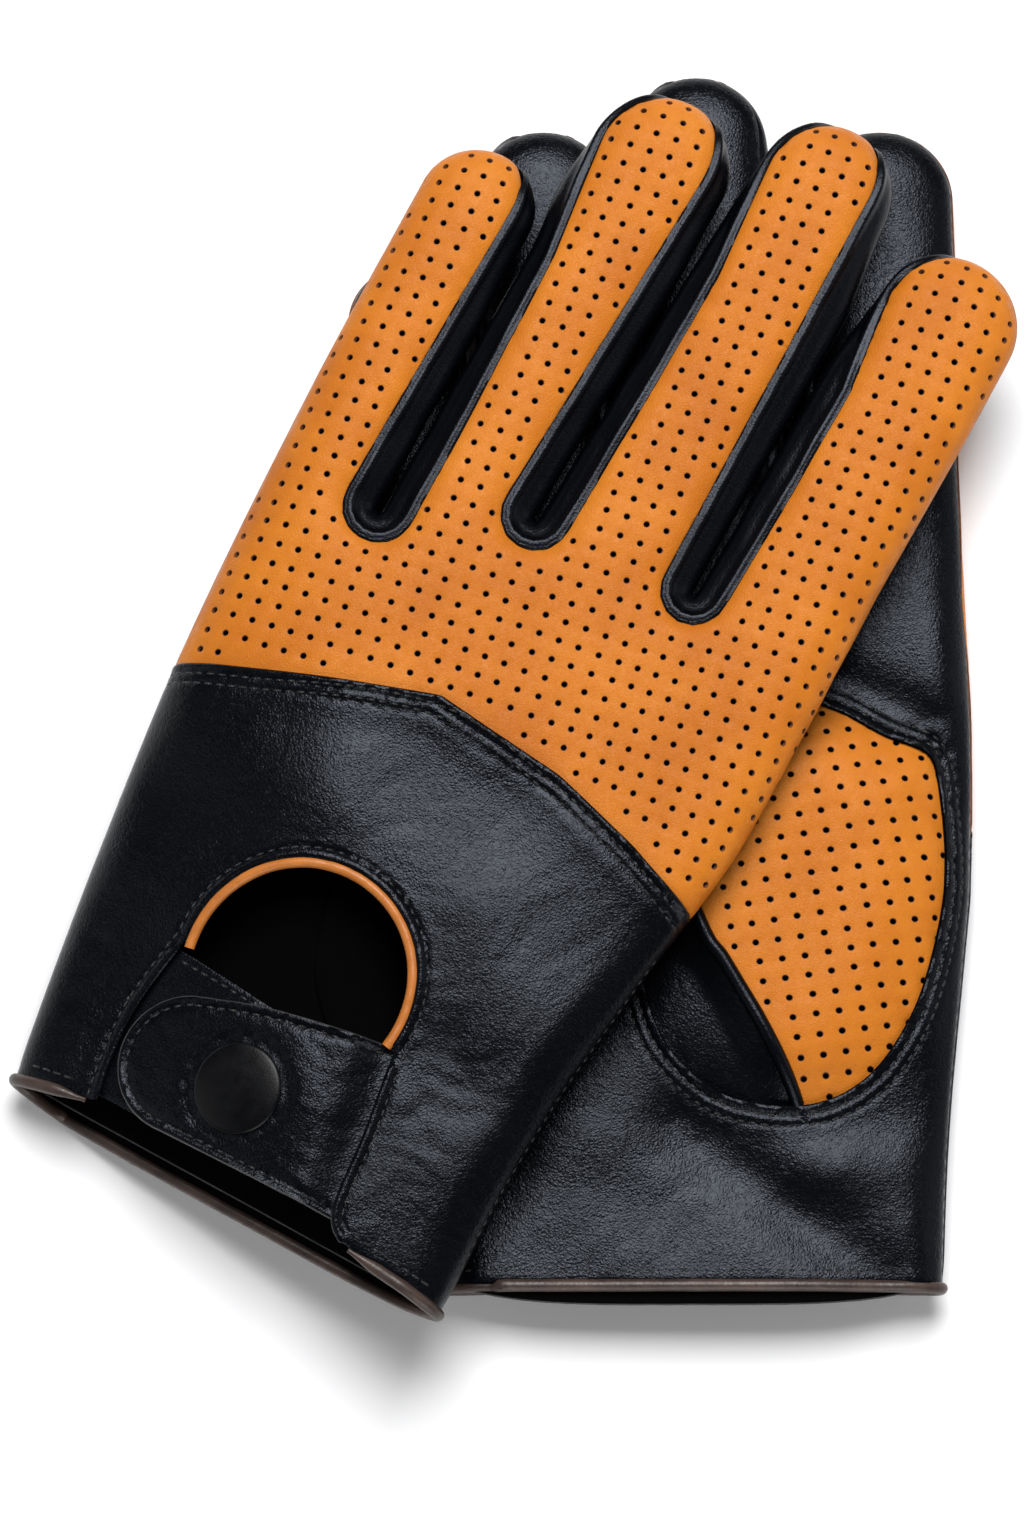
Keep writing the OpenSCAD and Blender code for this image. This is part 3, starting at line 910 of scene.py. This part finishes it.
# ---- panels
def back_panel(g, flat):
    def height(p):
        under = smooth((seam_y(p[:, 0]) + 1.5 - p[:, 1]) / 3.0)
        tuck = -0.55 * (1 - smooth((EDGE_TAN.depth(p) - 0.2) / 1.8)) * (p[:, 1] > seam_y(p[:, 0]) + 4)
        return tuck * smooth((EDGE.depth(p) - RIM) / 3) - 0.35 * under

    place = raised(side_of(g, True), height)
    return new_piece(g, "back_panel", flat["back"], place, LEATHER_TAN, cut=0.13)


def palm_panel(g, flat):
    def height(p):
        e = line_distance(p, HOLE_RIM)
        lap = 0.6 * np.exp(-((e / 4.6) ** 4)) + dent(e, 1.9, 0.5, 0.42) + dent(e, 3.9, 0.45, 0.34)
        lap = lap - dent(e, 0.75, 0.65, 0.5)
        return lap - 0.5 * (1 - smooth((EDGE.depth(p) - RIM - 0.2) / 2.0))

    place = raised(side_of(g, False), height)
    # The cut edge takes the dark flesh material: painted shade, so that the edge shows no lit line
    # inside the vent.
    mats = [BLACK, SHADED_BLACK_FLESH, SHADED_BLACK_FLESH]
    return new_piece(g, "palm_panel", flat["palm" + g.side], place, mats)


def cuff_back(g, flat):
    place = raised(side_of(g, True), cuff_lap)
    return new_piece(g, "cuff_back", flat["cuff" + g.side], place, LEATHER_BLACK)


def cuff_lap(p):
    """Rise of the cuff panel where it laps over the back, and its stitched grooves."""
    d = seam_y(p[:, 0]) - p[:, 1]
    v = np.abs(norm(p - VENT_C, axis=1) - VENT_R)
    v = np.where(p[:, 1] > 38, v, 99.0)
    f = np.minimum(line_distance(p, SPLIT_L), line_distance(p, SPLIT_R))
    f = np.where(p[:, 1] <= 40, f, 99.0)
    e = np.minimum(v, f)
    z = 0.25 + 0.5 * (1 - smooth(d / 11)) - dent(d, 0.7, 0.6, 0.42)
    z = z + dent(d, 1.9, 0.45, 0.4) + dent(d, 3.9, 0.45, 0.34)
    z = z + 0.3 * np.exp(-((e / 3.0) ** 4)) - dent(e, 0.8, 0.7, 0.4) + dent(e, 2.2, 0.5, 0.42)
    z = z * smooth((EDGE.depth(p) - RIM + 0.5) / 5)
    return z + dent(p[:, 1], HEM_Y, 3.0, 0.25)


# ---- between the fingers
def half_gap(b):
    """Half the distance from each point of a path between two fingers to its other side."""
    gap = np.full(len(b), 3.0)
    for i, p in enumerate(b):
        far = np.abs(np.arange(len(b)) - i) > 9
        gap[i] = min(3.0, norm(b[far] - p, axis=1).min() / 2)
    kernel = np.ones(9) / 9
    return np.convolve(np.pad(gap, 4, mode="edge"), kernel, mode="valid")


def fourchette(g, k):
    """Strip from the tip of finger k down to the crotch and up to the next finger's tip."""
    name = ("ring_little", "middle_ring", "index_middle")[k]
    f0, f1 = finger_tip(k), finger_tip(k + 1)
    half = len(f0) // 2
    r = CROTCH_R[k]
    crotch = arc(CROTCH_X[k], CROTCH_Y[k] + r, r, r, 180, 360, 10)
    path = resample(np.vstack([f0[half + 1 :], crotch, f1[:half]]), 1.2)
    q, n = EDGE.near(path)
    b = path - n * q[:, None]
    m, rows = len(path), 21
    end = np.minimum(np.arange(m), np.arange(m)[::-1]) * 1.2
    taper = smooth((end + 0.6) / 9)
    top = RIM + (-EDGE_TAN.depth(b) + 0.9 - RIM) * taper
    low = RIM - (PALM_INNER + 1.0 - RIM) * taper
    t = np.linspace(0, 1, rows)
    t = t - 0.2 * np.sin(2 * np.pi * t) / np.pi
    s = top[:, None] * (1 - t) + low[:, None] * t
    p = b[:, None] + n[:, None] * s[..., None]
    flat_s = s.ravel()
    gap = half_gap(b)
    across = np.exp(-(((flat_s - RIM - 0.4) / 3.3) ** 2))
    bulge = np.repeat((gap - 0.35) * smooth((end - 17) / 24), rows) * across
    c = np.repeat(top - 1.3, rows)
    ridge = 0.75 * np.exp(-(((flat_s - c) / 0.75) ** 2)) * np.repeat(taper, rows)
    deep = -0.55 * (1 - smooth((flat_s - np.repeat(low, rows)) / 2.5)) - 0.15
    tiny = 0.22 * noise2(p.reshape(-1, 2) * [1, 0.6] + flat_s[:, None], 5, 9)
    normal = np.repeat(n, rows, axis=0)
    soft = back_amount(g) * back_relief(p.reshape(-1, 2)) * smooth((flat_s - RIM) / 11)
    off = ridge + deep + tiny + soft + bulge
    co = np.vstack([
        g.lift(p.reshape(-1, 2), flat_s, normal, True, off - drop) for drop in (0.0, LEATHER * 0.8)
    ])
    size, faces = m * rows, []
    for i in range(m - 1):
        for j in range(rows - 1):
            a = i * rows + j
            faces.append((a, a + 1, a + rows + 1, a + rows))
            faces.append((size + a, size + a + rows, size + a + rows + 1, size + a + 1))
    ring = [i * rows for i in range(m)] + [(m - 1) * rows + j for j in range(1, rows)]
    ring += [i * rows + rows - 1 for i in range(m - 2, -1, -1)] + list(range(rows - 2, 0, -1))
    for a, c in zip(ring, ring[1:] + ring[:1]):
        faces.append((a, c, size + c, size + a))
    name = g.side + "_fourchette_" + name
    return finish(new_object(name + "_strip", co, faces, [STRIP], 70), g.body, "black_leather", name)


# ---- putting a piece on the frame
def finish(ob, body, slot, *nodes):
    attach(ob, body)
    if nodes:
        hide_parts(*nodes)
    return ob


SLOT = {"back_panel": "tan_leather", "thumb_back": "tan_leather", "vent_piping": "piping_leather",
        "cuff_binding": "brown_binding", "hem_facing": "lining_black"}


def new_piece(g, name, shape, place, mats, **size):
    ob = leather(g.side + "_" + name + "_leather", *shape, place, mats, **size)
    return finish(ob, g.body, SLOT.get(name, "black_leather"), g.side + "_" + name)


# ---- cuff trim
def cuff_binding(g):
    """Rolled binding along the whole cuff opening, from flap to flap round the palm."""
    x0, x1 = SIDE_LITTLE[0][0], SIDE_INDEX[-1][0]
    mid = -0.35
    drop = np.array([0, 0.5])

    def run(a, b, is_back):
        x = np.arange(a, b, 1.5 if b > a else -1.5)
        return side_of(g, is_back)(hem_points(is_back, g.left, x) - drop, mid)

    def side(x, n, to_palm):
        s = np.linspace(ROUND, 2 * RIM - ROUND, 29)
        t = smooth((s - s[-1]) / (s[0] - s[-1]))
        flat_x = x + n * np.maximum(s, 2 * RIM - s)
        y = hem_line(False, g.left, flat_x) * (1 - t) + hem_line(True, g.left, flat_x) * t
        p = columns([x + n * s, y]) - drop
        normal = np.tile([float(n), 0.0], (len(s), 1))
        out = g.lift(p, s, normal, True, mid)
        return out if to_palm else out[::-1]

    path = np.vstack([
        run(SPLIT_INDEX[0][0] + 2.4, x1 - ROUND, True), side(x1, -1, True),
        run(x1 - ROUND, x0 + ROUND, False)[1:], side(x0, 1, False),
        run(x0 + ROUND, SPLIT_LITTLE[-1][0] - 0.8, True)[1:],
    ])
    path = resample(path / MM, 1.1) * MM
    n = len(path)
    end = np.minimum(np.arange(n), np.arange(n)[::-1]) * 1.1
    r = 1.22 * (0.35 + 0.65 * smooth(end / 7)) + 0.05 * noise2(path[:, :2] / MM, 7, 5)
    up = (*(g.turn @ [0.0, 1.0]), 0.0)
    ob = tube(g.side + "_cuff_binding_roll", path, r, [BINDING], up)
    return finish(ob, g.body, "brown_binding", g.side + "_cuff_binding")


def vent_piping(g):
    line = arc(*VENT_C, VENT_R - 0.75, VENT_R - 0.75, 193, -9, 2.0)
    path = side_of(g, True)(line, -0.05)
    r = 1.02 + 0.05 * noise2(line, 5, 6)
    ob = tube(g.side + "_vent_piping_roll", path, r, [PIPING])
    return finish(ob, g.body, "piping_leather", g.side + "_vent_piping")


def underlap_tab(g, flat):
    """Tab under the strap, drawn down round the stud that is set in it."""
    def height(p):
        r = norm(p - SNAP_C, axis=1)
        z = -0.55 - 1.15 * np.exp(-((r / 8.5) ** 4)) + dent(line_distance(p, TAB_TOP), 1.7, 0.4, 0.22)
        return z - 0.12 * creases(p, 4.0, 0.9, 81)

    place = raised(calm_base(g), height)
    return new_piece(g, "underlap_tab", flat["tab"], place, LEATHER_BLACK)


# Black facing inside the palm's hem. On the right glove it hangs below the binding as a black band:
# partly the cuff's dark inside, partly a painted shadow under the binding.
def hem_facing(g, flat):
    place = raised(side_of(g, False), lambda p: -1.2 - 0.1 * noise2(p, 9, 7))
    mats = [SHADED_BLACK_FLESH, SHADED_BLACK_FLESH, CUT_BLACK]
    return new_piece(g, "hem_facing", flat["facing" + g.side], place, mats, thick=0.7)


# ---- strap and snap
TAB = np.array([(-36, 9), (15, 9), (16, 31), (-4, 38.4), (-27, 40.2), (-36, 40.2)], float)
TAB_TOP = np.array([(16, 31), (-4, 38.4), (-27, 40.2), (-36, 40.2)], float)
ROOT_DIR = (ROOT_TOP - ROOT_LOW) / norm(ROOT_TOP - ROOT_LOW)
ROOT_OUT = np.array([-ROOT_DIR[1], ROOT_DIR[0]])  # from the root towards the snap
TUCK = 5.0  # how far the strap runs on under its flap


def strap_loop(grow=0.0):
    r = STRAP_R + grow
    end = arc(STRAP_C[0], STRAP_C[1], r, r, 112, 270, 6)
    low, top = ROOT_LOW - ROOT_OUT * TUCK, ROOT_TOP - ROOT_OUT * TUCK
    low, top = low - [0, 0.8 + grow], top + [0, 0.6 + grow]
    bow = curve([end[0], np.array(STRAP_BOW) + [0, grow], top], 1.0)[::-1]
    return resample(np.vstack([end, low, top, bow[1:-1]]), 1.0, closed=True)


STRAP_LOOP = strap_loop()


def strap_height(p):
    """Height of the strap's face over the back leather: up on its tab, down at its root."""
    d = (p - ROOT_LOW) @ ROOT_OUT
    z = -1.1 + 2.4 * smooth((d + 0.5) / 9.5)
    r = norm(p - SNAP_C, axis=1)
    a = np.arctan2(p[:, 1] - SNAP_C[1], p[:, 0] - SNAP_C[0])
    z -= 0.34 * np.exp(-(((r - 9.7) / 1.15) ** 2)) * (1 + 0.35 * np.cos(13 * a + 2 * np.cos(3 * a)))
    far = smooth((r - 9) / 5)
    z -= far * 0.11 * creases(p, 3.4, -0.35, 91, 6.0)
    z -= far * 0.08 * creases(p, 2.6, 0.9, 95, 6.0) * spot(p, 8, 24, 14, 12)
    e = line_distance(p, looped(STRAP_LOOP))
    z += 0.3 * np.exp(-(((e - 0.55) / 0.55) ** 2)) + dent(e, 1.7, 0.45, 0.4) * (d > 1.0)
    return z


def calm_base(g):
    """Back surface that is quite flat under the snap, and goes over to the leather round it."""
    surface = side_of(g, True, lambda p: smooth((norm(p - SNAP_C, axis=1) - 9) / 12))
    h = 0.5
    probe = np.array([SNAP_C, SNAP_C + [h, 0], SNAP_C - [h, 0], SNAP_C + [0, h], SNAP_C - [0, h]])
    at = surface(probe, 0.0)
    ex, ey = (at[1] - at[2]) / (2 * h), (at[3] - at[4]) / (2 * h)
    up = surface(probe[:1], 1.0)[0] - at[0]

    def place(p, off=0.0):
        p = np.asarray(p, float)
        off = np.broadcast_to(np.asarray(off, float), (len(p),))
        d = p - SNAP_C
        w = 1 - smooth((norm(d, axis=1) - 9.8) / 8)
        flat = at[0] + d[:, :1] * ex + d[:, 1:] * ey + off[:, None] * up
        return flat * w[:, None] + surface(p, off) * (1 - w[:, None])

    return place


def bend_with_strap(g, ob, *nodes):
    """Bakes a piece's transform into its mesh and hides the frame parts it stands for."""
    place = calm_base(g)
    mid = (ROOT_LOW + ROOT_TOP) / 2
    a, b = place(np.array([mid - ROOT_OUT * 0.5, mid + ROOT_OUT * 3.6]), 0.0)
    tuple(a)
    tuple(b)
    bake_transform(ob)
    if nodes:
        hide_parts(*nodes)
    return ob


def on_strap(g, drop=0.0):
    return raised(calm_base(g), lambda p: strap_height(p) + drop)


def strap_layer(g, flat, node, piece, drop, mats, slot, **size):
    """A layer of the strap, drop below its face."""
    ob = leather(g.side + piece, *flat[node], on_strap(g, drop), mats, **size)
    return bend_with_strap(g, ob, g.side + "_" + node)


def snap_cap(g):
    """Cap with a rolled rim and a low dome, square to the strap."""
    base = calm_base(g)
    near = np.array([SNAP_C, SNAP_C, SNAP_C + [1, 0], SNAP_C + [0, 1]])
    a, b, east, north = base(near, np.array([1.25, 2.25, 1.25, 1.25]))
    up = np.cross(east - a, north - a)
    up *= np.sign(up @ (b - a)) / norm(up)
    side = np.cross(up, [0.0, 1.0, 0.0])
    side /= norm(side)
    fwd = np.cross(side, up)
    r = CAP_D / 2
    rim = [(r - 0.9, -0.4), (r - 0.35, -0.35), (r - 0.05, -0.05), (r, 0.2), (r - 0.12, 0.44),
           (r - 0.4, 0.62)]
    dome = [(k, 0.62 + 0.82 * (1 - (k / (r - 0.4)) ** 2) ** 0.8) for k in np.linspace(r - 0.8, 0.35, 14)]
    co, n = [], 72
    profile = rim + dome
    for rad, h in profile:
        for k in range(n):
            t = 2 * math.pi * k / n
            co.append(a + (side * math.cos(t) * rad + fwd * math.sin(t) * rad + up * h) * MM)
    ob = new_object(g.side + "_snap_cap_dome", co, skin(len(profile), n), [ENAMEL], 60)
    return finish(ob, g.strap_body, "snap_black", g.side + "_snap_cap")


# ---- thumb
def taper_loop(p0, r0, p1, r1):
    d = p1 - p0
    turn = math.degrees(math.atan2(d[1], d[0]))
    lean = math.degrees(math.acos((r0 - r1) / norm(d)))
    far = arc(p1[0], p1[1], r1, r1, turn - lean, turn + lean, 6)
    near = arc(p0[0], p0[1], r0, r0, turn + lean, turn - lean + 360, 6)
    return np.vstack([far, near])


def union_loop(a, b, centre):
    """Outline of two overlapping loops, seen from a point inside both."""
    out = []
    reach = np.linspace(4, 90, 345)
    for t in np.radians(np.arange(0, 360, 2.0)):
        ray = centre + reach[:, None] * np.array([math.cos(t), math.sin(t)])
        hit = inside(ray, a) | inside(ray, b)
        out.append(ray[np.nonzero(hit)[0].max()])
    out = np.array(out)
    out = (np.roll(out, 1, 0) + 2 * out + np.roll(out, -1, 0)) / 4
    return resample(out, 1.2, closed=True)


THUMB_OUT = union_loop(
    offset_line(HOLE, 2.6), taper_loop(THUMB_BASE, THUMB_BASE_R, THUMB_TIP, THUMB_TIP_R),
    np.array([12.0, 92.0]),
)


def thumb_loop(tan):
    side = (Edge(THUMB_LINE).depth(THUMB_OUT) > 0) == tan
    start = int(np.nonzero(side & ~np.roll(side, 1))[0][0])
    part = np.roll(THUMB_OUT, -start, axis=0)[: side.sum()]
    seam = THUMB_LINE[inside(THUMB_LINE, THUMB_OUT)]
    seam = seam[1:-1]
    return resample(np.vstack([part, seam[::-1] if tan else seam]), 1.15, closed=True)


def thumb_height(p, tan):
    e = line_distance(p, looped(THUMB_OUT))
    t = np.where(inside(p, HOLE), 0, smooth(line_distance(p, HOLE_RIM) / 6))
    rise = np.sin(np.clip(e / (19 - 7 * t), 0, 1) * math.pi / 2)
    z = -1.6 + 2.65 * t + (THUMB_H + 0.8 - 2.65 * t) * rise
    s = line_distance(p, THUMB_LINE)
    if tan:
        return z + dent(s, 0.6, 0.9, 0.5) + 0.25 * noise2(p, 17, 12)
    z -= (z + 0.6) * 0.55 * smooth((s + 0.5) / 7) + 0.5
    return z - 0.15 * creases(p, 5.0, 1.0, 101)


def on_thumb(g, tan):
    low = 0.86 if g.left else 1.0
    return raised(side_of(g, False), lambda p: thumb_height(p, tan) * low)


def thumb_half(g, flat, tan):
    name = "thumb_back" if tan else "thumb_front"
    # The front's cut edge takes the dark flesh material: painted shade, so that it shows no lit line in
    # the vent.
    mats = LEATHER_TAN if tan else [BLACK, SHADED_BLACK_FLESH, SHADED_BLACK_FLESH]
    return new_piece(g, name, flat[name], on_thumb(g, tan), mats, cut=0.13 if tan else 0.2)


def thumb_roll(g):
    """Rolled seam between the two halves of the thumb."""
    line = THUMB_LINE[inside(THUMB_LINE, THUMB_OUT)][2:-2]
    end = np.arange(len(line))[::-1] / 8.0
    r = 1.35 * np.minimum(1, 0.4 + end) + 0.08 * noise2(line, 6, 13)
    inner = -1 if g.left else 1
    path = on_thumb(g, True)(line, 0.15)
    ob = tube(g.side + "_thumb_seam_roll", path, r, [STRIP, SHADED_BLACK_FLESH], inner=inner)
    return finish(ob, g.body, "black_leather")


# ---- sewing
def sew(g, name, *rows):
    """Stitches along rows. A row is (flat line, placing function, height over it)."""
    return finish(stitches(g.side + "_thread_" + name, rows), g.body, "thread_black")


def sewing(g):
    back, palm = side_of(g, True), side_of(g, False)
    cuff = raised(back, cuff_lap)
    lapped = raised(palm, lambda p: 0.6 * np.exp(-((line_distance(p, HOLE_RIM) / 4.6) ** 4)))
    seams = [offset_line(SEAM_LINE, d) for d in DOUBLE_ROW]
    sew(g, "seam", *[(row[EDGE.depth(row) > RIM + 0.5], cuff, 0.1) for row in seams])
    opening = np.vstack([
        offset_line(SPLIT_L, 2.2)[::-1],
        arc(*VENT_C, VENT_R + 2.2, VENT_R + 2.2, 187, -4, 3),
        offset_line(SPLIT_R, 2.2)[::-1],
    ])
    sew(g, "opening", (opening, cuff, 0.08))

    def hem(is_back, a, b, place, off):
        return hem_points(is_back, g.left, np.arange(a, b, 1.5), 2.4), place, off

    sew(g, "hem", hem(True, -41, SPLIT_LITTLE[-1][0] - 3, cuff, 0.2),
        hem(True, SPLIT_INDEX[0][0] + 2, 49, cuff, 0.2), hem(False, -41, 49, palm, -0.05))
    sew(g, "thumb_hole", *[(offset_line(HOLE, d), lapped, -0.2) for d in DOUBLE_ROW])
    side = curve(SIDE_INDEX, 1.5) + [0.9, 0]
    sew(g, "outseam", (side[side[:, 1] < 84][:-2], cuff, -0.05))
    sew(g, "tab", (offset_line(curve(TAB_TOP[:3], 1.5), -1.7), back, -0.55))


def strap_sewing(g):
    row = offset_line(looped(STRAP_LOOP), -1.7)
    row = np.roll(row, -int(np.argmin((row - ROOT_LOW) @ ROOT_OUT)), axis=0)
    row = row[(row - ROOT_LOW) @ ROOT_OUT > 0.8]
    ob = stitches(g.side + "_thread_strap", [(row, on_strap(g), 0.12)])
    return bend_with_strap(g, ob)


# ---- everything, for both gloves
def facing_loop(drop):
    side0, side1 = curve(SIDE_LITTLE, 2.0), curve(SIDE_INDEX, 2.0)
    side0 = side0[side0[:, 1] < 23] + [1.5, 0]
    side1 = side1[side1[:, 1] < 23] - [1.5, 0]
    x = np.linspace(side1[-1, 0], side0[0, 0], 40)[1:-1]
    # drop hangs the middle of the facing below the hem; the band that shows is partly a painted shadow.
    low = columns([x, HEM_Y - drop * (1 - np.abs((x - 4) / 47) ** 4)])
    return resample(np.vstack([side0, side1, low]), 1.6, closed=True)


def flat_shapes():
    """Points and triangles of each flat piece."""
    under = lambda p: p[:, 1] < seam_y(p[:, 0]) + 2.2
    double = (0.7, 1.3, 1.9, 2.5, 3.4, 3.9, 4.4)
    single = (0.8, 1.5, 2.2, 2.9)
    rows = strands((SEAM_LINE, double), (SPLIT_L, single), (SPLIT_R, single),
                   (VENT, [-d for d in single]))
    ring = strands((HOLE_RIM, double))
    edge = strands((looped(STRAP_LOOP), (-1.3, -1.7, -2.1)))
    snap = [arc(*SNAP_C, r, r, 0, 354, 6) for r in (8.9, 9.6, 10.3, 11.0)]
    flat = {
        "back": punched(BACK_LOOP, 2.4, under),
        "tab": plain([resample(TAB, 1.4, closed=True)], 1.4),
        "facingleft": plain([facing_loop(0.0)], 2.2),
        # The right glove's facing hangs 4.4 mm down, as a black band that is partly a painted shadow
        # under the binding.
        "facingright": plain([facing_loop(4.4)], 2.0),
        "strap": plain([STRAP_LOOP], 1.1, np.vstack([edge] + snap)),
        "strap_lining": plain([strap_loop(-0.7)], 1.7),
        "thumb_back": punched(thumb_loop(True), 2.0),
        "thumb_front": plain([thumb_loop(False)], 1.4),
    }
    for g in GLOVES:
        flat["cuff" + g.side] = plain([cuff_loop(g.left)], 1.35, rows)
        flat["palm" + g.side] = plain([palm_loop(g.left), HOLE], 1.6, ring)
    return flat


BACK_LOOP = back_loop()
EDGE_TAN = Edge(looped(BACK_LOOP))


def build():
    flat = flat_shapes()
    for g in GLOVES:
        back_panel(g, flat)
        palm_panel(g, flat)
        cuff_back(g, flat)
        for k in range(3):
            fourchette(g, k)
        cuff_binding(g)
        vent_piping(g)
        underlap_tab(g, flat)
        hem_facing(g, flat)
        strap_layer(g, flat, "strap", "_strap_leather", 0.0, [BLACK, SHADED_BLACK_FLESH, CUT_BLACK],
                    "black_leather", cut=0.22)
        strap_layer(g, flat, "strap_lining", "_strap_lining_suede", -0.98,
                    [SHADED_BLACK_FLESH, SHADED_BLACK_FLESH, CUT_BLACK], "lining_black", thick=0.5)
        snap_cap(g)
        thumb_half(g, flat, True)
        thumb_half(g, flat, False)
        thumb_roll(g)
        sewing(g)
        strap_sewing(g)
        for name in ("snap_socket", "snap_stud", "snap_eyelet"):
            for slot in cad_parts[g.side + "_" + name].material_slots:
                slot.material = METAL


build()
